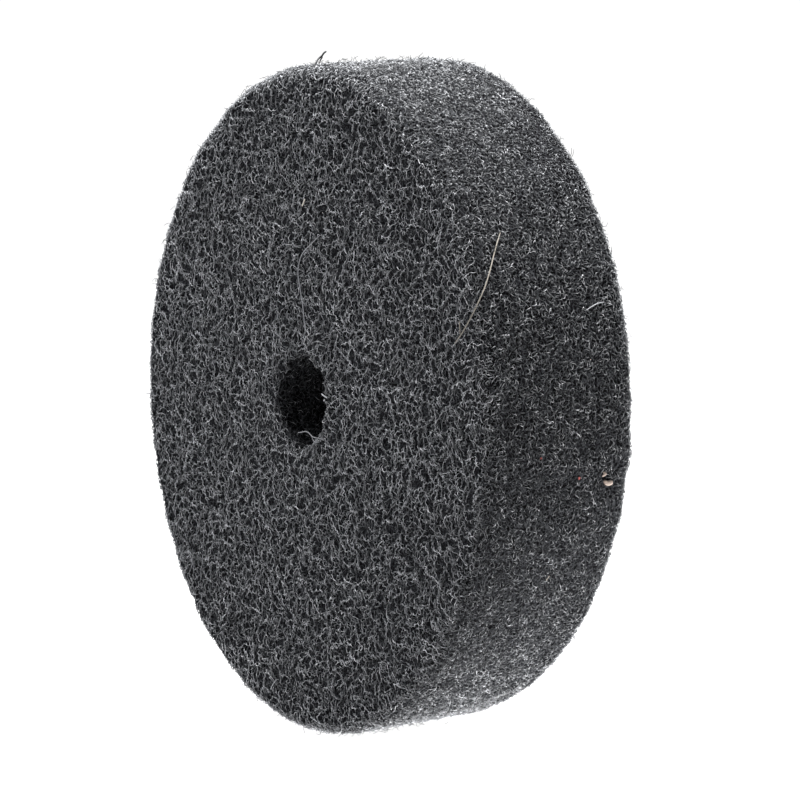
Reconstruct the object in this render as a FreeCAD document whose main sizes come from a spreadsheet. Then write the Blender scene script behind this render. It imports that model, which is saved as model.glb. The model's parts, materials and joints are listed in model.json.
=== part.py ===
"""Non-woven fibre polishing wheel, 75 mm across, as a FreeCAD 1.1 macro in millimetres.

The wheel is a block of non-woven nylon plies. Each ply is a flat web of crimped, grit-coated fibre.
The plies are stacked along the spindle axis, pressed together, and cured into one wheel by the
resin that coats their fibres, so neighbouring plies meet face to face with nothing between them.
Then the outline and the bore are cut through the whole stack.

Frame: the origin is the wheel's centre, the spindle axis is Y, and Z is up, so the wheel stands on
its rim. The front face looks along -Y. The front and back plies have a worn, rounded rim corner and
a slightly rounded bore mouth, and every ply between them is a plain ring.
"""

import FreeCAD, Part
import Sketcher
import os

SHEET_NAME = "Dimensions"

# The driving dimensions, in millimetres, apart from ply_count.
DIMENSIONS = {
    "wheel_diameter": 75.0,
    "wheel_width": 19.0,  # between the two faces, along the axis
    "bore_diameter": 10.2,  # an easy push over a 10 mm spindle
    "ply_count": 7,
    "rim_corner_radius": 1.8,  # worn corner between a face and the rim
    "bore_mouth_radius": 0.5,
}

# Expressions over the sheet, which the sketches and placements share.
PLY_WIDTH = "{0}.wheel_width / {0}.ply_count".format(SHEET_NAME)
RIM_RADIUS = "{0}.wheel_diameter / 2".format(SHEET_NAME)
BORE_RADIUS = "{0}.bore_diameter / 2".format(SHEET_NAME)
FRONT_FACE = "-{0}.wheel_width / 2".format(SHEET_NAME)


def add_sheet(doc):
    """The spreadsheet that holds the driving dimensions, one aliased cell for each."""
    sheet = doc.addObject("Spreadsheet::Sheet", SHEET_NAME)
    for row, (alias, value) in enumerate(DIMENSIONS.items(), start=1):
        sheet.set("A{}".format(row), alias)
        sheet.set("B{}".format(row), str(value))
        sheet.setAlias("B{}".format(row), alias)
    doc.recompute()
    return sheet


def ply_label(index, count):
    """front_ply, ply_2, ply_3 and so on, then back_ply."""
    if index == 0:
        return "front_ply"
    if index == count - 1:
        return "back_ply"
    return "ply_{}".format(index + 1)


def add_rectangle(sketch):
    """A rectangle standing off the sketch's vertical axis: its inner side is the bore wall, its
    outer side the rim, and its lower side lies on the horizontal axis."""
    inner, outer, width = 5.0, 30.0, 3.0  # rough places, which the constraints then set
    corners = [(inner, 0), (outer, 0), (outer, width), (inner, width)]
    points = [FreeCAD.Vector(x, y, 0) for x, y in corners]
    for start, end in zip(points, points[1:] + points[:1]):
        sketch.addGeometry(Part.LineSegment(start, end), False)
    bottom, rim, top, bore = range(4)
    for side, following in ((bottom, rim), (rim, top), (top, bore), (bore, bottom)):
        sketch.addConstraint(Sketcher.Constraint("Coincident", side, 2, following, 1))
    for side in (bottom, top):
        sketch.addConstraint(Sketcher.Constraint("Horizontal", side))
    for side in (rim, bore):
        sketch.addConstraint(Sketcher.Constraint("Vertical", side))
    horizontal_axis = -1
    sketch.addConstraint(Sketcher.Constraint("PointOnObject", bottom, 1, horizontal_axis))
    return bottom, rim


def name_distance(sketch, kind, element, point, value, name, expression):
    """A distance of a point from the origin, with a name, bound to the sheet."""
    index = sketch.addConstraint(Sketcher.Constraint(kind, -1, 1, element, point, value))
    sketch.renameConstraint(index, name)
    sketch.setExpression("Constraints.{}".format(name), expression)


def circle_edges(shape, radius, height):
    """The names of the shape's full circles of that radius about Y, at that height along Y."""
    names = []
    for number, edge in enumerate(shape.Edges, start=1):
        curve = edge.Curve
        if not isinstance(curve, Part.Circle):
            continue
        if abs(curve.Radius - radius) < 1e-6 and abs(curve.Center.y - height) < 1e-6:
            names.append("Edge{}".format(number))
    return names


def add_rounding(body, name, base, edges, alias):
    """A fillet of the body on those edges of base, its radius bound to the sheet."""
    fillet = body.newObject("PartDesign::Fillet", name)
    fillet.Base = (base, edges)
    fillet.setExpression("Radius", "{}.{}".format(SHEET_NAME, alias))
    body.Document.recompute()
    return fillet


def add_ply(doc, sheet, index):
    """One ply as a body: a ring turned from a rectangle, then set at its place in the stack.

    The front ply's outer face is its lower one and the back ply's is its upper one. Both get the
    wheel's worn corners there.
    """
    count = int(sheet.ply_count)
    label = ply_label(index, count)
    body = doc.addObject("PartDesign::Body", label)
    body.Label = label

    planes = {plane.Role: plane for plane in body.Origin.OriginFeatures}
    sketch = body.newObject("Sketcher::SketchObject", label + "_profile")
    sketch.AttachmentSupport = [(planes["XY_Plane"], "")]
    sketch.MapMode = "FlatFace"
    bottom, rim = add_rectangle(sketch)
    name_distance(sketch, "DistanceX", bottom, 1, 5.0, "bore_radius", BORE_RADIUS)
    name_distance(sketch, "DistanceX", bottom, 2, 30.0, "rim_radius", RIM_RADIUS)
    name_distance(sketch, "DistanceY", rim, 2, 3.0, "ply_width", PLY_WIDTH)
    doc.recompute()

    ring = body.newObject("PartDesign::Revolution", label + "_ring")
    ring.Profile = sketch
    ring.ReferenceAxis = (sketch, ["V_Axis"])
    ring.Angle = 360.0
    sketch.Visibility = False
    doc.recompute()

    if index in (0, count - 1):
        outer_face = 0.0 if index == 0 else sheet.wheel_width / count
        rim_edges = circle_edges(ring.Shape, sheet.wheel_diameter / 2, outer_face)
        worn = add_rounding(body, label + "_corner", ring, rim_edges, "rim_corner_radius")
        mouth_edges = circle_edges(worn.Shape, sheet.bore_diameter / 2, outer_face)
        add_rounding(body, label + "_mouth", worn, mouth_edges, "bore_mouth_radius")

    body.setExpression("Placement.Base.y", "{} + {} * {}".format(FRONT_FACE, index, PLY_WIDTH))
    return body


def check(doc, bodies):
    """Stops the macro if an object failed or a ply is not one valid solid."""
    for made in doc.Objects:
        if "Invalid" in made.State or "Error" in made.State:
            raise RuntimeError("{} failed: {}".format(made.Label, made.State))
    for body in bodies:
        shape = body.Shape
        if shape.isNull() or not shape.isValid() or len(shape.Solids) != 1:
            raise RuntimeError("{} is not one valid solid".format(body.Label))


def main():
    doc = FreeCAD.newDocument("polishing_wheel")
    sheet = add_sheet(doc)
    bodies = [add_ply(doc, sheet, index) for index in range(int(sheet.ply_count))]
    doc.recompute()
    check(doc, bodies)
    os.makedirs("parts", exist_ok=True)
    for body in bodies:
        body.Shape.exportStep(os.path.join("parts", body.Label + ".step"))
        box = body.Shape.BoundBox
        print("{}: y {:.3f} to {:.3f}, volume {:.1f}".format(
            body.Label, box.YMin, box.YMax, body.Shape.Volume))


main()
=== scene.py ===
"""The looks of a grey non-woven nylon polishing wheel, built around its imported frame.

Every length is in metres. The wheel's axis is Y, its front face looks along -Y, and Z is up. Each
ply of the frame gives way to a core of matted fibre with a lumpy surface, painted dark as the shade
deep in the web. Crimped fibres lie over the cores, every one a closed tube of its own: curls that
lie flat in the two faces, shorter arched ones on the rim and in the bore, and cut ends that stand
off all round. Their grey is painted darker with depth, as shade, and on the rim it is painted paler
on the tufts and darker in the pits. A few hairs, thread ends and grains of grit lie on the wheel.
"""

import json
import math

import bpy
import numpy as np
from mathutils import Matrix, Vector


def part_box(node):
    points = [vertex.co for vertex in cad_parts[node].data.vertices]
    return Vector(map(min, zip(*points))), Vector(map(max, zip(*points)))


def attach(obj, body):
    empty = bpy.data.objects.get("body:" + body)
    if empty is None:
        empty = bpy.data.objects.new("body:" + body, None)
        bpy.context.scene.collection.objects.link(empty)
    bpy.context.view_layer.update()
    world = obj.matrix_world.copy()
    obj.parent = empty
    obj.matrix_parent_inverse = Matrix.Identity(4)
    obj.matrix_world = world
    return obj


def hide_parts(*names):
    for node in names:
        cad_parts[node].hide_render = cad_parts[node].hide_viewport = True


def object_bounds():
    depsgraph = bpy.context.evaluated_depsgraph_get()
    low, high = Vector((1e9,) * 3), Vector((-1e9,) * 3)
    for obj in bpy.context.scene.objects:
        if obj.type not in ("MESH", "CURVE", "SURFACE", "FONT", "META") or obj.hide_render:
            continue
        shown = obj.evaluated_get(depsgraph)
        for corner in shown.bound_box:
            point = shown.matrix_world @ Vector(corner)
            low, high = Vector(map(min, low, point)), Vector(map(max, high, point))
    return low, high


MM = 0.001
TURN = 2 * math.pi

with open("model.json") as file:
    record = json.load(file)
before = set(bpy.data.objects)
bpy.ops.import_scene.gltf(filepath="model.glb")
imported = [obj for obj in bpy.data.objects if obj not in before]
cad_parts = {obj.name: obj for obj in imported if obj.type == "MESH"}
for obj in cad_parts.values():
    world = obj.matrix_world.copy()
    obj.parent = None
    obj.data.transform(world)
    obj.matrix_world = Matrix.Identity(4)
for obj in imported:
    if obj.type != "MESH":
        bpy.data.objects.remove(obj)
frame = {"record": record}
cad_low, cad_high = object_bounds()

RADIUS = cad_high.x
WIDTH = cad_high.y - cad_low.y
BORE = next(m for m in frame["record"]["mounts"] if m["name"] == "bore")["dims"]["r_mm"] * MM
PLIES = ["front_ply", "ply_2", "ply_3", "ply_4", "ply_5", "ply_6", "back_ply"]

CORNER = 1.8 * MM  # worn corner between face and rim
MOUTH = 0.5 * MM  # rounded edge of the bore
LEAN = 0.055  # the soft stack was cut a little askew, so it rises by this share from front to back
SAG = 0.35 * MM + LEAN * WIDTH / 2  # how far its lowest fibres reach under the round wheel
TABLE = cad_low.z - SAG  # height of the table's top
LUMP_HEIGHT = 0.08 * MM  # how far the densest web swells, and the loosest sinks

# The runs of the wheel's outline from the middle of the bore to the middle of the rim.
BORE_RUN = WIDTH / 2 - MOUTH
MOUTH_RUN = MOUTH * math.pi / 2
FACE_RUN = RADIUS - CORNER - BORE - MOUTH
CORNER_RUN = CORNER * math.pi / 2
RIM_RUN = WIDTH / 2 - CORNER
HALF_OUTLINE = BORE_RUN + MOUTH_RUN + FACE_RUN + CORNER_RUN + RIM_RUN
FACE_START = BORE_RUN + MOUTH_RUN

CORE_DEPTH = 0.35 * MM  # how far the cores lie under the faces
RIM_CORE_DEPTH = 0.17 * MM  # and under the rim, which is cut hard and worn shut
CORE_SLOPE = 2 * MM  # the run over the face in which they sink from the one depth to the other
CORE_COLUMNS = 400  # points round a core
OUTER_ROWS = 60  # rows of them on an outer ply, which has a face
INNER_ROWS = 5  # rows on the bore and on the rim of a ply between two others

FIBRE = 0.043 * MM  # radius of a coated fibre
FIBRE_SIDES = 3  # sides of its tube
PAINTED_SHADE_DEPTH = 0.38 * MM  # the depth at which the painted shade of the fade makes the web as dark as its core
CLUMP_HEIGHT = 0.07 * MM  # how far the tufts on the rim stand over the pits between them
CLUMP_PAINTED_LIGHT_AND_SHADE = 0.25  # painted highlight and shade: how much paler than its tone a fibre is on a tuft, and darker in a pit
STEADY_CURL = 0.9  # radians that a fibre bends by over its whole length, besides its crimp

# The layers of curls in each face, outermost first: their lowest and highest levels over the skin,
# below zero inside, and their radius. The deeper ones are less worn and hold more resin.
FACE_LAYERS = [
    ("top", (-0.08 * MM, 0.04 * MM), 0.87 * FIBRE),
    ("middle", (-0.18 * MM, -0.04 * MM), 1.05 * FIBRE),
    ("deep", (-0.3 * MM, -0.14 * MM), 1.25 * FIBRE),
]
LAYER_CURLS = 3450  # about how many curls each layer has
RIM_FIBRES = 5700  # about how many arched fibres each ply has on the rim
RIM_LEVELS = (-0.14 * MM, 0.1 * MM)
BORE_FIBRES = 2800
BORE_LEVELS = (-0.3 * MM, 0.0)
RIM_ENDS = 3000  # cut ends that stand off the rim
RIM_END_HEIGHT = 0.95 * MM
FACE_ENDS = 2400  # and off both faces
FACE_END_HEIGHT = 0.3 * MM
END_ROOT = 0.3 * MM  # how deep under the skin a cut end starts

# Seeds of the random draws. Each layer or ply adds its own number to its seed.
FRONT_SEED, BACK_SEED, RIM_SEED, BORE_SEED, ENDS_SEED = 10, 20, 30, 50, 60


# ---------------------------------------------------------------------------------------------
# Camera, floor and light
# ---------------------------------------------------------------------------------------------

CAMERA_AZIMUTH = 58.1  # degrees round from straight in front of the face
CAMERA_ELEVATION = 4.8
CAMERA_DISTANCE = 338 * MM
CAMERA_LENS = 133.8  # focal length
SENSOR = 36  # width, in the unit of the focal length
AIM_RIGHT = 3.12 * MM  # the camera looks at a point a little right of the wheel's centre
AIM_DOWN = 0.8 * MM


def direction(azimuth, elevation):
    """The unit vector from the wheel towards something seen at that azimuth and elevation."""
    a, e = math.radians(azimuth), math.radians(elevation)
    return Vector((math.sin(a) * math.cos(e), -math.cos(a) * math.cos(e), math.sin(e)))


def add_camera():
    """A long lens to the right of the face, a little above the wheel's middle."""
    data = bpy.data.cameras.new("camera")
    data.lens = CAMERA_LENS
    data.sensor_width = SENSOR
    data.clip_start, data.clip_end = 0.02, 20
    camera = bpy.data.objects.new("camera", data)
    back = direction(CAMERA_AZIMUTH, CAMERA_ELEVATION)
    right = Vector((0, 0, 1)).cross(back).normalized()
    up = back.cross(right)
    aim = right * AIM_RIGHT - up * AIM_DOWN
    camera.location = back * CAMERA_DISTANCE
    camera.rotation_mode = "QUATERNION"
    camera.rotation_quaternion = (aim - camera.location).to_track_quat("-Z", "Y")
    bpy.context.scene.collection.objects.link(camera)
    bpy.context.scene.camera = camera


def add_light(name, place, size, power, colour="#ffffff", facing=None):
    """A square softbox that faces the wheel's centre, or the given way."""
    data = bpy.data.lights.new(name, "AREA")
    data.shape = "SQUARE"
    data.size = size
    data.energy = power
    data.color = linear(colour)[:3]
    light = bpy.data.objects.new(name, data)
    light.location = place
    light.rotation_mode = "QUATERNION"
    light.rotation_quaternion = Vector(facing or [-c for c in place]).to_track_quat("-Z", "Y")
    light.visible_camera = False
    bpy.context.scene.collection.objects.link(light)


def add_floor():
    """A table of white acrylic: an even, soft white, lit through so that it is pale to its edge."""
    reach = 3.0
    corners = [(x, y, TABLE) for x, y in (
        (-reach, -reach), (reach, -reach), (reach, reach), (-reach, reach))]
    mesh = bpy.data.meshes.new("floor")
    mesh.from_pydata(corners, [], [(0, 1, 2, 3)])
    floor = bpy.data.objects.new("floor", mesh)
    bpy.context.scene.collection.objects.link(floor)
    material, nodes = new_material("white acrylic table")
    shader = nodes["Principled BSDF"]
    shader.inputs["Base Color"].default_value = linear("#747474")
    shader.inputs["Roughness"].default_value = 0.6
    shader.inputs["Emission Color"].default_value = linear("#ffffff")
    shader.inputs["Emission Strength"].default_value = 1.0
    mesh.materials.append(material)


def add_world():
    """White paper behind, and a dim grey sky that fills the shadows."""
    world = bpy.data.worlds.new("studio")
    bpy.context.scene.world = world
    world.use_nodes = True
    tree = world.node_tree
    tree.nodes.clear()
    seen = add_node(tree, "ShaderNodeLightPath")
    backdrop = add_node(tree, "ShaderNodeBackground", Color=linear("#ffffff"), Strength=1.05)
    fill = add_node(tree, "ShaderNodeBackground", Color=linear("#e8ecf2"), Strength=0.15)
    mix = add_node(tree, "ShaderNodeMixShader", Fac=seen.outputs["Is Camera Ray"])
    tree.links.new(fill.outputs[0], mix.inputs[1])
    tree.links.new(backdrop.outputs[0], mix.inputs[2])
    add_node(tree, "ShaderNodeOutputWorld", Surface=mix.outputs[0])


def add_lights():
    """A big softbox overhead, a weaker one before the face, and a lit panel in the table.

    The panel shines up behind the wheel. It lights the lower rim, and it leaves the face alone.
    """
    just_above = 0.05 * MM
    add_light("overhead", (-0.05, 0.1, 0.7), 0.5, 41.0)
    add_light("front_left", (-0.12, -0.32, 0.3), 0.3, 2.4, "#f8faff")
    add_light("table_panel", (0.03, 0.09, TABLE + just_above), 0.2, 0.85, facing=(0, 0, 1))


# ---------------------------------------------------------------------------------------------
# Materials
# ---------------------------------------------------------------------------------------------

GRIT_GRAIN = 0.22 * MM  # grains of grit in the coat
COAT_PATCH = 5 * MM  # patches of thicker coat
COAT_PATCH_SHARE = 0.2  # how much those change a fibre's tone

# The nets of fibre in the gaps, deepest first: a shift that makes each differ from the others, the
# width of its meshes, and its grey. The greys are painted shade, darker the deeper the net lies.
GAP_NETS = [(0.0, 0.32 * MM, "#0a0a0b"), (0.3, 0.36 * MM, "#19191b"), (0.7, 0.4 * MM, "#303133")]
# painted shade: the near-black of the gaps under the nets, where the web falls into shadow
GAP_PAINTED_SHADE = "#030303"
NET_LINE = 0.1  # how far the noise is off its middle value at the edge of a line


def linear(hex_colour):
    """An sRGB hex colour as linear RGBA."""
    values = [int(hex_colour[i:i + 2], 16) / 255 for i in (1, 3, 5)]
    return [v / 12.92 if v <= 0.04045 else ((v + 0.055) / 1.055) ** 2.4 for v in values] + [1.0]


def add_node(tree, kind, **settings):
    """Adds a node. A setting is an input of it, as a value or a socket to link, or a property."""
    node = tree.nodes.new(kind)
    for name, value in settings.items():
        label = name.replace("_", " ")
        if label in node.inputs:
            if isinstance(value, bpy.types.NodeSocket):
                tree.links.new(value, node.inputs[label])
            else:
                node.inputs[label].default_value = value
        else:
            setattr(node, name, value)
    return node


def set_ramp(node, stops):
    """Gives a colour ramp its stops, each a place and a hex colour."""
    elements = node.color_ramp.elements
    while len(elements) < len(stops):
        elements.new(0.5)
    for element, (place, colour) in zip(elements, stops):
        element.position = place
        element.color = linear(colour)


def new_material(name):
    """A material, and the nodes that it starts with."""
    material = bpy.data.materials.new(name)
    material.use_nodes = True
    return material, material.node_tree.nodes


def fibre_material(name, stops, grit=0.9):
    """Crimped nylon fibre dipped in resin and fine grit, then cured, and other thread and grit.

    The dipped coat is uneven, so each fibre has its own grey, from its "tone", and it is mottled
    along its length by the grit. The tone also carries painted shade, darker with depth in the web
    and in the rim's pits, and a painted highlight on the rim's tufts. The resin leaves a weak,
    broad gloss. stops are the colours from no tone to full tone, and grit is the share of the tone
    that the mottle adds and takes away.
    """
    material, nodes = new_material(name)
    tree = material.node_tree
    shader = nodes["Principled BSDF"]
    places = add_node(tree, "ShaderNodeTexCoord").outputs["Object"]
    tone = add_node(tree, "ShaderNodeAttribute", attribute_name="tone").outputs["Fac"]
    for size, share in ((GRIT_GRAIN, grit), (COAT_PATCH, COAT_PATCH_SHARE)):
        noise = add_node(tree, "ShaderNodeTexNoise", Vector=places, Scale=1 / size, Detail=2.0)
        mottle = add_node(tree, "ShaderNodeMapRange", Value=noise.outputs["Fac"])
        mottle.inputs["To Min"].default_value = 1 - share
        mottle.inputs["To Max"].default_value = 1 + share
        mottled = add_node(tree, "ShaderNodeMath", operation="MULTIPLY")
        tree.links.new(mottle.outputs["Result"], mottled.inputs[0])
        tree.links.new(tone, mottled.inputs[1])
        tone = mottled.outputs[0]
    ramp = add_node(tree, "ShaderNodeValToRGB", Fac=tone)
    set_ramp(ramp, stops)
    tree.links.new(ramp.outputs["Color"], shader.inputs["Base Color"])
    shader.inputs["Roughness"].default_value = 0.6
    shader.inputs["IOR"].default_value = 1.53  # cured resin over nylon
    shader.inputs["Specular IOR Level"].default_value = 0.15  # most of it is dulled by the grit
    return material


def core_material():
    """The same web where it is packed deep in the wheel: matted fibre with near-black gaps between,
    all of it painted dark as shade.

    Each net is drawn where a noise passes its middle value, which gives closed, curly lines as thin
    as a fibre. Three nets of different noise lie over each other, each paler than the one below, so
    that the deeper nets carry more painted shade. The eye sees them only in the gaps between the
    loose fibres.
    """
    material, nodes = new_material("matted nylon web in painted shade")
    tree = material.node_tree
    shader = nodes["Principled BSDF"]
    places = add_node(tree, "ShaderNodeTexCoord").outputs["Object"]
    colour = None
    for shift, size, grey in GAP_NETS:
        moved = add_node(tree, "ShaderNodeMapping", Vector=places, Location=(shift,) * 3)
        noise = add_node(tree, "ShaderNodeTexNoise", Vector=moved.outputs[0], Scale=1 / size,
                         Detail=0.0)
        off_middle = add_node(tree, "ShaderNodeMath", operation="SUBTRACT")
        tree.links.new(noise.outputs["Fac"], off_middle.inputs[0])
        off_middle.inputs[1].default_value = 0.5
        away = add_node(tree, "ShaderNodeMath", operation="ABSOLUTE")
        tree.links.new(off_middle.outputs[0], away.inputs[0])
        line = add_node(tree, "ShaderNodeMapRange", Value=away.outputs[0])
        line.inputs["From Max"].default_value = NET_LINE
        line.inputs["To Min"].default_value = 1.0
        line.inputs["To Max"].default_value = 0.0
        mix = add_node(tree, "ShaderNodeMix", data_type="RGBA")
        tree.links.new(line.outputs[0], mix.inputs["Factor"])
        below, above, mixed = mix.inputs[6], mix.inputs[7], mix.outputs[2]  # the colour sockets
        # Under the deepest net lies the painted shade of the gaps.
        if colour is None:
            below.default_value = linear(GAP_PAINTED_SHADE)
        else:
            tree.links.new(colour, below)
        above.default_value = linear(grey)
        colour = mixed
    tree.links.new(colour, shader.inputs["Base Color"])
    shader.inputs["Roughness"].default_value = 0.8
    shader.inputs["Specular IOR Level"].default_value = 0.0
    return material


# ---------------------------------------------------------------------------------------------
# Shapes
# ---------------------------------------------------------------------------------------------


def skin(along, around):
    """Points on the wheel's skin and the outward unit vectors there.

    along is the distance on the outline in a plane through the axis, from the middle of the bore's
    wall, over the front face, to the middle of the rim, and on over the back face. around is the
    angle about the axis. With m and c the angles turned through at the bore's mouth and at the worn
    corner, the radius is bore + mouth (1 - cos m) + the run over the face + corner sin c, and the
    outward vector is (-cos(m + c) along the radius, -sin(m + c) along the axis). The stack leans:
    each point is raised by a share of its distance along the axis.
    """
    side = np.where(along > HALF_OUTLINE, -1.0, 1.0)
    near = np.where(along > HALF_OUTLINE, 2 * HALF_OUTLINE - along, along)
    side = np.where(near < 0, -side, side)
    near = np.abs(near)
    mouth = np.clip((near - BORE_RUN) / MOUTH, 0, math.pi / 2)
    corner = np.clip((near - FACE_START - FACE_RUN) / CORNER, 0, math.pi / 2)
    over_face = np.clip(near - FACE_START, 0, FACE_RUN)
    over_rim = np.clip(near - FACE_START - FACE_RUN - CORNER_RUN, 0, RIM_RUN)
    radius = BORE + MOUTH * (1 - np.cos(mouth)) + over_face + CORNER * np.sin(corner)
    depth = (-np.clip(near, 0, BORE_RUN) - MOUTH * np.sin(mouth)
             + CORNER * (1 - np.cos(corner)) + over_rim)
    turned = mouth + corner
    cosine, sine = np.cos(around), np.sin(around)
    places = np.stack([radius * cosine, side * depth, radius * sine + LEAN * side * depth], -1)
    outward = np.stack(
        [-np.cos(turned) * cosine, -np.sin(turned) * side, -np.cos(turned) * sine], -1)
    return places, outward


def lumps(places, seed=4, waves=14, shortest=2.5 * MM, longest=9 * MM):
    """How dense the web is at each point, about -1 to 1: a sum of sines in random directions."""
    rng = np.random.default_rng(seed)
    ways = rng.normal(size=(waves, 3))
    ways /= np.linalg.norm(ways, axis=1, keepdims=True)
    lengths = rng.uniform(shortest, longest, (waves, 1))
    phases = rng.uniform(0, TURN, waves)
    return np.sin(places @ (ways * TURN / lengths).T + phases).sum(-1) / math.sqrt(waves)


def add_piece(name, points, quads, triangles, material, tone=None):
    """A mesh piece from whole arrays, smooth, riding on the wheel."""
    mesh = bpy.data.meshes.new(name)
    mesh.vertices.add(len(points))
    mesh.vertices.foreach_set("co", points.astype(np.float32).ravel())
    loops = np.concatenate([quads.ravel(), triangles.ravel()])
    mesh.loops.add(len(loops))
    mesh.loops.foreach_set("vertex_index", loops.astype(np.int32))
    starts = np.concatenate([
        np.arange(len(quads)) * 4,
        quads.size + np.arange(len(triangles)) * 3,
    ])
    mesh.polygons.add(len(starts))
    mesh.polygons.foreach_set("loop_start", starts.astype(np.int32))
    mesh.polygons.foreach_set("use_smooth", np.ones(len(starts), bool))
    if tone is not None:
        mesh.attributes.new("tone", "FLOAT", "POINT").data.foreach_set(
            "value", tone.astype(np.float32).ravel())
    mesh.update(calc_edges=True)
    mesh.validate()
    mesh.materials.append(material)
    piece = bpy.data.objects.new(name, mesh)
    bpy.context.scene.collection.objects.link(piece)
    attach(piece, "root")
    return piece


def core_rows(front, back):
    """Where a ply's core has its rows of points, as distances on the wheel's skin.

    They run from the inner side over whatever the ply shows of the bore, a face and the rim, and
    back to the inner side. A ply between two others shows only the bore and the rim.
    """
    if front < -WIDTH / 2 + CORNER:
        return np.linspace(-back, HALF_OUTLINE + back, OUTER_ROWS)
    if back > WIDTH / 2 - CORNER:
        return np.linspace(HALF_OUTLINE + front, 2 * HALF_OUTLINE - front, OUTER_ROWS)
    bore = np.linspace(-back, -front, INNER_ROWS)
    rim = np.linspace(HALF_OUTLINE + front, HALF_OUTLINE + back, INNER_ROWS)
    return np.concatenate([bore, rim])


def add_core(ply, material):
    """One ply's core: its outline turned about the axis, pushed in and out by the lumps.

    A point lies under the skin by the core's depth less the lumps there. That depth grows from the
    rim's to the face's over the outermost run of the face. The last row joins the first across the
    flat side, or sides, that meet other plies.
    """
    low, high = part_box(ply)
    along, around = np.meshgrid(core_rows(low[1], high[1]),
                                np.arange(CORE_COLUMNS) * TURN / CORE_COLUMNS, indexing="ij")
    places, outward = skin(along, around)
    past_corner = np.abs(along - HALF_OUTLINE) - RIM_RUN - CORNER_RUN
    depth = np.interp(past_corner, [0, CORE_SLOPE], [RIM_CORE_DEPTH, CORE_DEPTH])
    places = places + outward * (LUMP_HEIGHT * lumps(places) - depth)[..., None]
    numbers = np.arange(along.size).reshape(along.shape)
    following = np.roll(numbers, -1, axis=0)
    quads = np.stack([
        numbers, following, np.roll(following, -1, axis=1), np.roll(numbers, -1, axis=1),
    ], -1)
    core = add_piece(ply + "_core", places.reshape(-1, 3), quads.reshape(-1, 4),
                     np.zeros((0, 3), int), material)
    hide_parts(ply)


def scattered(rng, length, width, count):
    """About count places in a rectangle, spread so that none crowd together.

    The rectangle is cut into square cells, and each has one place, anywhere in it.
    """
    cell = math.sqrt(length * width / count)
    columns, rows = max(1, round(length / cell)), max(1, round(width / cell))
    column, row = np.meshgrid(np.arange(columns), np.arange(rows))
    x = (column + rng.uniform(0, 1, column.shape)) * length / columns
    y = (row + rng.uniform(0, 1, row.shape)) * width / rows
    return x.ravel(), y.ravel()


def wander(rng, fibres, stations, length, heading, crimp, crimp_length):
    """Crimped paths in a plane: (fibres, stations, 2) offsets from each path's middle.

    The heading is a start, plus a steady curl times the run, plus two sine waves of crimp along the
    run, the second half as strong and half as long. The path is the running sum of steps along it.
    """
    part = np.linspace(-0.5, 0.5, stations)
    lengths = length * rng.uniform(0.7, 1.3, (fibres, 1))
    run = part * lengths
    angle = heading[:, None] + rng.normal(0, STEADY_CURL / length, (fibres, 1)) * run
    for share in (1.0, 0.5):
        wave = crimp_length * share * rng.uniform(0.7, 1.5, (fibres, 1))
        angle = angle + crimp * share * np.sin(TURN * run / wave
                                               + rng.uniform(0, TURN, (fibres, 1)))
    steps = np.stack([np.cos(angle), np.sin(angle)], -1) * (lengths / (stations - 1))[..., None]
    path = np.cumsum(steps, axis=1)
    return path - path.mean(axis=1, keepdims=True)


def heights(rng, fibres, stations, levels, roll, dive, most_waves=2.2):
    """Heights of each path over the skin: a level, a gentle roll, and ends that dive inwards.

    With t from -1 to 1 along the path, the height is level + roll sin(waves pi t + phase) - dive t
    to the power of 8. levels holds the lowest and the highest level.
    """
    part = np.linspace(-1, 1, stations)
    level = rng.uniform(levels[0], levels[1], (fibres, 1))
    waves = rng.uniform(0.4, 1.0, (fibres, 1)) * most_waves
    rolled = roll * np.sin(waves * math.pi * part + rng.uniform(0, TURN, (fibres, 1)))
    return level + rolled - dive * part ** 8


def tubes(paths, up, radii, sides=FIBRE_SIDES):
    """A tube carried along every path, with its ends closed.

    ring = path + radius (side cos a + lift sin a), where side is the tangent crossed with up, lift
    is side crossed with the tangent, and a goes once round in equal steps, one for each side.
    """
    tangent = np.gradient(paths, axis=1)
    tangent /= np.linalg.norm(tangent, axis=-1, keepdims=True) + 1e-12
    side = np.cross(tangent, up)
    side /= np.linalg.norm(side, axis=-1, keepdims=True) + 1e-12
    lift = np.cross(side, tangent)
    angles = TURN * np.arange(sides) / sides + math.pi / 2
    spread = (side[:, :, None] * np.cos(angles)[:, None]
              + lift[:, :, None] * np.sin(angles)[:, None])
    rings = paths[:, :, None] + spread * radii[:, :, None, None]
    numbers = np.arange(rings.size // 3).reshape(rings.shape[:3])
    turned = np.roll(numbers, -1, axis=2)
    quads = np.stack([numbers[:, :-1], numbers[:, 1:], turned[:, 1:], turned[:, :-1]], -1)
    fan = np.array([[0, step, step + 1] for step in range(1, sides - 1)])
    caps = np.concatenate([numbers[:, 0][:, fan], numbers[:, -1][:, fan[:, ::-1]]])
    return rings.reshape(-1, 3), quads.reshape(-1, 4), caps.reshape(-1, 3)


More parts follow.
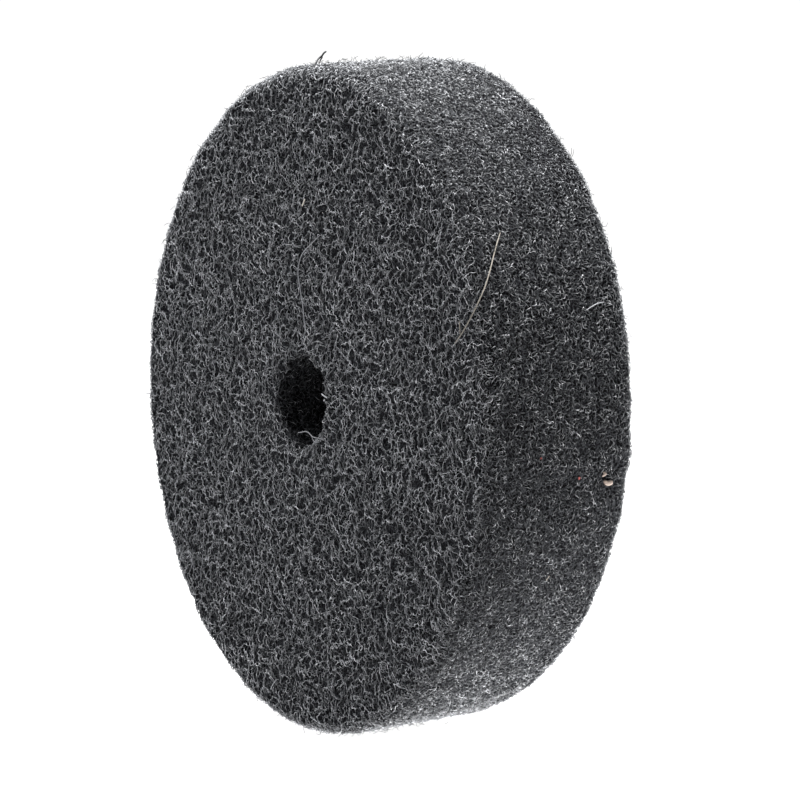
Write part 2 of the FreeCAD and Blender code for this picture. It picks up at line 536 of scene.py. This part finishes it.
def add_fibres(name, rng, along, around, height, material, tone, radius=FIBRE, clumped=0.0):
    """Fibres over the skin, from their places on it and their heights over it, below zero inside.

    A fibre keeps all its tone at the skin and none of it at the fade depth. This fade is painted
    shade: it darkens the fibres deep in the web as the shadow there would. Where the web is
    clumped, it rises in small tufts and sinks between them, and its tone is painted paler on the
    tufts and darker in the pits, a painted highlight and painted shade. With t from -1 to 1 along a
    fibre, its radius is the full one times 1 less half of |t| to the power of 6.
    """
    places, outward = skin(along, around)
    clumps = clumped * lumps(places, seed=8, waves=20, shortest=0.9 * MM, longest=3 * MM)
    raised = height + LUMP_HEIGHT * lumps(places) + CLUMP_HEIGHT * clumps
    paths = places + outward * raised[..., None]
    fibres, stations = along.shape
    taper = 1 - 0.5 * np.abs(np.linspace(-1, 1, stations)) ** 6
    radii = radius * rng.uniform(0.75, 1.25, (fibres, 1)) * taper
    points, quads, caps = tubes(paths, outward, radii)
    # The tone carries painted shade: it fades with depth, and it is painted paler on the tufts and
    # darker in the pits.
    tones = tone[:, None] * np.clip(1 + height / PAINTED_SHADE_DEPTH, 0, 1) * (1 + CLUMP_PAINTED_LIGHT_AND_SHADE * clumps)
    add_piece(name, points, quads, caps, material, np.repeat(tones.ravel(), FIBRE_SIDES))


def face_fibres(name, rng, count, levels, material, radius, back=False):
    """Curls that lie flat in a face. They run on over the worn corner and into the bore's mouth."""
    stations, length = 10, 2.6 * MM
    crimp, crimp_length = 0.95, 0.7 * MM
    roll, dive = 0.09 * MM, 0.2 * MM
    outer = RADIUS - CORNER + CORNER_RUN * 0.6  # how far out the middle of a curl may be
    x, z = scattered(rng, 2 * outer, 2 * outer, count * 4 / math.pi)
    start = np.stack([x - outer, z - outer], -1)
    reach = np.hypot(start[:, 0], start[:, 1])
    start = start[(reach > BORE) & (reach < outer)]
    count = len(start)
    path = start[:, None] + wander(rng, count, stations, length, rng.uniform(0, TURN, count),
                                   crimp, crimp_length)
    distance = np.hypot(path[..., 0], path[..., 1])
    around = np.arctan2(path[..., 1], path[..., 0])
    along = FACE_START + distance - BORE - MOUTH
    if back:
        along = 2 * HALF_OUTLINE - along
    height = heights(rng, count, stations, levels, roll, dive, most_waves=4.0)
    tone = rng.beta(22, 11, count)  # two thirds on average
    add_fibres(name, rng, along, around, height, material, tone, radius)


def wall_fibres(name, rng, count, middle, reach, wall_radius, levels, material, brightness,
                clumped=0.0):
    """Short arched fibres on a round wall, the rim or the bore, where the cut left little of them.

    They cover a band of the wall, by the reach both ways from the middle, which is a distance on
    the skin.
    """
    stations, length = 3, 0.8 * MM
    crimp, crimp_length = 0.9, 0.8 * MM
    roll, dive = 0.06 * MM, 0.22 * MM
    x, y = scattered(rng, TURN * wall_radius, 2 * reach, count)
    count = len(x)
    path = wander(rng, count, stations, length, rng.uniform(0, TURN, count), crimp, crimp_length)
    along = middle - reach + y[:, None] + path[..., 1]
    around = (x[:, None] + path[..., 0]) / wall_radius
    height = heights(rng, count, stations, levels, roll, dive)
    tone = rng.beta(14, 10, count) * brightness
    add_fibres(name, rng, along, around, height, material, tone, clumped=clumped)


def cut_ends(name, rng, along, around, height, material, brightness):
    """Cut fibre ends that stand off the skin and curl over.

    An end starts at its root under the skin. With t from 0 to 1 along it, it rises by t (1 - 0.35
    bend t) of its length along the outward vector, leans by bend t squared of its reach along a
    random tangent, and sways by sin(pi t) of it along the tangent across that one.
    """
    count, stations = len(along), 4
    places, outward = skin(along, around)
    part = np.linspace(0, 1, stations)[None, :, None]
    lean = np.cross(outward, rng.normal(size=(count, 3)))
    lean /= np.linalg.norm(lean, axis=1, keepdims=True)
    twist = np.cross(outward, lean)
    reach = height * rng.uniform(0.3, 1.0, (count, 1, 1)) ** 1.5
    start = places + outward * (LUMP_HEIGHT * lumps(places) - END_ROOT)[:, None]
    bend = rng.uniform(0.3, 1.5, (count, 1, 1))
    sway = rng.normal(0, 0.5, (count, 1, 1))
    paths = (start[:, None]
             + outward[:, None] * part * (reach + END_ROOT) * (1 - 0.35 * bend * part)
             + lean[:, None] * reach * bend * part ** 2
             + twist[:, None] * reach * sway * np.sin(math.pi * part))
    up = np.broadcast_to(twist[:, None], paths.shape)
    radii = FIBRE * np.broadcast_to(1 - 0.4 * part[..., 0], paths.shape[:2])
    points, quads, caps = tubes(paths, up, radii)
    tones = np.repeat(rng.beta(3, 6, count) * brightness, stations * FIBRE_SIDES)
    add_piece(name, points, quads, caps, material, tones)


def loose_thread(name, places, radius, material, tone, bluntness=12):
    """Something that lies on the wheel: a hair, a thread's end or a grain of grit.

    Its middle line runs through the places, in millimetres, by cubics whose slope at a place is
    half the step between that place's two neighbours. With t from -1 to 1 along the line, its
    radius is the full one times the square root of 1 - |t| to the power of the bluntness.
    """
    stations = 40
    knots = np.array(places) * MM
    knots = np.concatenate([[2 * knots[0] - knots[1]], knots, [2 * knots[-1] - knots[-2]]])
    run = np.linspace(0, len(knots) - 3.001, stations)
    first = run.astype(int)
    t = (run - first)[:, None]
    before, start, end, after = (knots[first + step] for step in range(4))
    line = start + 0.5 * t * (end - before + t * (
        2 * before - 5 * start + 4 * end - after + t * (3 * (start - end) + after - before)))
    part = np.linspace(-0.99, 0.99, stations)
    radii = radius * np.sqrt(1 - np.abs(part) ** bluntness)
    up = np.broadcast_to([0.31, -0.83, 0.46], (1, stations, 3))
    points, quads, caps = tubes(line[None], up, radii[None], sides=8)
    add_piece(name, points, quads, caps, material, np.full(len(points), tone))


def add_strays(fibre):
    """What the wheel has picked up or shed: hairs, thread ends, grains of grit and nylon curls.

    Undyed cotton is a warm off-white, and lint has taken up the wheel's grey dust. Polishing paste
    dries pale and chalky, and red grit is a dull iron red.
    """
    cotton = fibre_material(
        "undyed cotton thread", [(0.0, "#2c2925"), (0.6, "#77726a"), (1.0, "#e4ded2")], grit=0.3)
    lint = fibre_material(
        "grey cotton lint", [(0.0, "#2a2a2c"), (0.6, "#77787b"), (1.0, "#b4b5b8")], grit=0.3)
    paste = fibre_material(
        "dried polishing paste", [(0.0, "#4c433e"), (0.6, "#a39489"), (1.0, "#ece7dc")])
    rouge = fibre_material(
        "red polishing grit", [(0.0, "#2a0f0d"), (0.6, "#6e3532"), (1.0, "#9c5c57")])
    loose_thread("long_hair", [
        (32.2, -4.5, 19.1), (33.1, -5.7, 17.5), (34.1, -7.0, 15.5), (34.8, -8.1, 13.8),
        (34.9, -9.0, 12.2), (34.4, -9.6, 10.6), (32.9, -9.7, 8.9), (31.4, -9.65, 7.7),
    ], 0.06 * MM, cotton, 0.5)
    loose_thread("side_hair", [(32.3, -9.6, 10.1), (32.5, -9.7, 9.5), (32.5, -9.65, 8.8)],
                 0.055 * MM, cotton, 0.5)
    loose_thread("wavy_hair", [
        (4.5, -9.6, 18.2), (2.9, -9.65, 17.3), (0.6, -9.65, 15.9), (-0.3, -9.6, 14.0),
        (0.3, -9.65, 11.9), (0.9, -9.65, 9.8), (1.3, -9.65, 7.8), (2.3, -9.6, 7.1),
    ], 0.05 * MM, lint, 0.58)
    loose_thread("thread_end", [(1.4, -9.7, 22.1), (0.7, -9.65, 21.3)], 0.065 * MM, cotton, 0.75)
    loose_thread("bore_strand_1", [
        (-2.8, -8.2, -4.3), (-0.7, -9.3, -4.1), (1.2, -9.6, -3.8), (2.0, -9.6, -3.9),
        (2.7, -9.65, -4.2), (3.5, -9.7, -4.3), (4.3, -9.7, -4.3), (5.3, -9.6, -4.4),
    ], 0.045 * MM, lint, 0.48)
    loose_thread("bore_strand_2", [
        (2.6, -9.6, -4.2), (2.9, -9.65, -4.5), (3.5, -9.7, -4.8), (4.3, -9.6, -4.7),
    ], 0.045 * MM, lint, 0.48)
    loose_thread("bore_end_1", [(6.0, -9.6, 0.3), (5.4, -9.7, 0.5), (4.8, -9.65, 0.7)],
                 0.07 * MM, lint, 0.62)
    loose_thread("bore_end_2", [(5.4, -9.7, -0.05), (5.7, -9.75, 0.1)], 0.1 * MM, lint, 0.65, 4)
    loose_thread("rim_hair", [(36.0, 3.7, 11.0), (35.95, 5.0, 11.6), (35.9, 6.1, 11.8)],
                 0.05 * MM, lint, 0.6)
    loose_thread("rim_end", [(33.4, 0.6, -17.4), (33.5, 1.0, -16.9)], 0.06 * MM, cotton, 0.6)
    loose_thread("pale_grit_1", [
        (36.75, 5.6, -6.8), (36.8, 5.9, -7.1), (36.9, 6.3, -7.1), (36.75, 6.6, -6.9),
    ], 0.26 * MM, paste, 0.27, 3)
    loose_thread("pale_grit_2", [(36.8, 5.3, -6.4), (36.95, 5.6, -6.1), (36.8, 5.4, -5.9)],
                 0.15 * MM, paste, 0.3, 2)
    loose_thread("red_grit_1", [(37.1, 2.1, -6.5), (37.1, 2.2, -6.2)], 0.11 * MM, rouge, 0.7, 2)
    loose_thread("red_grit_2", [(37.4, -3.0, -4.0), (37.4, -2.8, -3.9)], 0.09 * MM, rouge, 0.6, 2)
    loose_thread("crown_curl_1", [
        (0.4, -7.8, 36.9), (0.0, -7.1, 37.6), (0.0, -6.6, 38.0), (0.1, -6.4, 38.3),
        (0.1, -6.1, 38.5),
    ], 0.1 * MM, fibre, 0.12, 20)
    loose_thread("crown_curl_2", [
        (0.0, -6.6, 38.0), (0.0, -6.6, 37.8), (0.0, -6.8, 37.5), (0.3, -7.2, 37.0),
    ], 0.08 * MM, fibre, 0.12, 20)


def add_web(fibre):
    """The loose fibres: curls in the faces, arched ones on the rim and in the bore, cut ends."""
    for number, (layer, levels, radius) in enumerate(FACE_LAYERS):
        face_fibres("front_fibres_" + layer, np.random.default_rng(FRONT_SEED + number),
                    LAYER_CURLS, levels, fibre, radius)
        face_fibres("back_fibres_" + layer, np.random.default_rng(BACK_SEED + number),
                    LAYER_CURLS, levels, fibre, radius, back=True)
    # Half the width of each ply's band on the rim. The outer bands run on over the worn corners.
    rim_reach = (RIM_RUN + CORNER_RUN * 0.8) / len(PLIES)
    for index, ply in enumerate(PLIES):
        middle = HALF_OUTLINE + (index - len(PLIES) // 2) * 2 * rim_reach
        wall_fibres("rim_fibres_" + ply, np.random.default_rng(RIM_SEED + index), RIM_FIBRES,
                    middle, rim_reach, RADIUS, RIM_LEVELS, fibre, brightness=0.9, clumped=1.0)
    wall_fibres("bore_fibres", np.random.default_rng(BORE_SEED), BORE_FIBRES, 0.0, BORE_RUN, BORE,
                BORE_LEVELS, fibre, brightness=0.85)

    rng = np.random.default_rng(ENDS_SEED)
    along = HALF_OUTLINE + rng.uniform(-1, 1, RIM_ENDS) * (RIM_RUN + CORNER_RUN)
    cut_ends("rim_ends", rng, along, rng.uniform(0, TURN, RIM_ENDS), RIM_END_HEIGHT, fibre,
             brightness=0.4)
    radius = np.sqrt(rng.uniform(BORE ** 2, RADIUS ** 2, FACE_ENDS))
    along = FACE_START + radius - BORE - MOUTH
    along = np.where(np.arange(FACE_ENDS) % 2, along, 2 * HALF_OUTLINE - along)
    cut_ends("face_ends", rng, along, rng.uniform(0, TURN, FACE_ENDS), FACE_END_HEIGHT, fibre,
             brightness=0.7)


def main():
    """The studio first, then the wheel from its cores outwards."""
    add_camera()
    add_world()
    add_lights()
    add_floor()
    bpy.context.scene.view_settings.view_transform = "Standard"

    core = core_material()
    for ply in PLIES:
        add_core(ply, core)

    # Fibre greys from no tone to full tone. The painted shade of the fade with depth takes the
    # deepest fibres to the dark end.
    greys = [(0.0, "#040404"), (0.3, "#3c3d3f"), (0.6, "#747577"), (1.0, "#c0c1c4")]
    fibre = fibre_material("resin coated nylon fibre", greys)
    add_web(fibre)
    add_strays(fibre)


main()
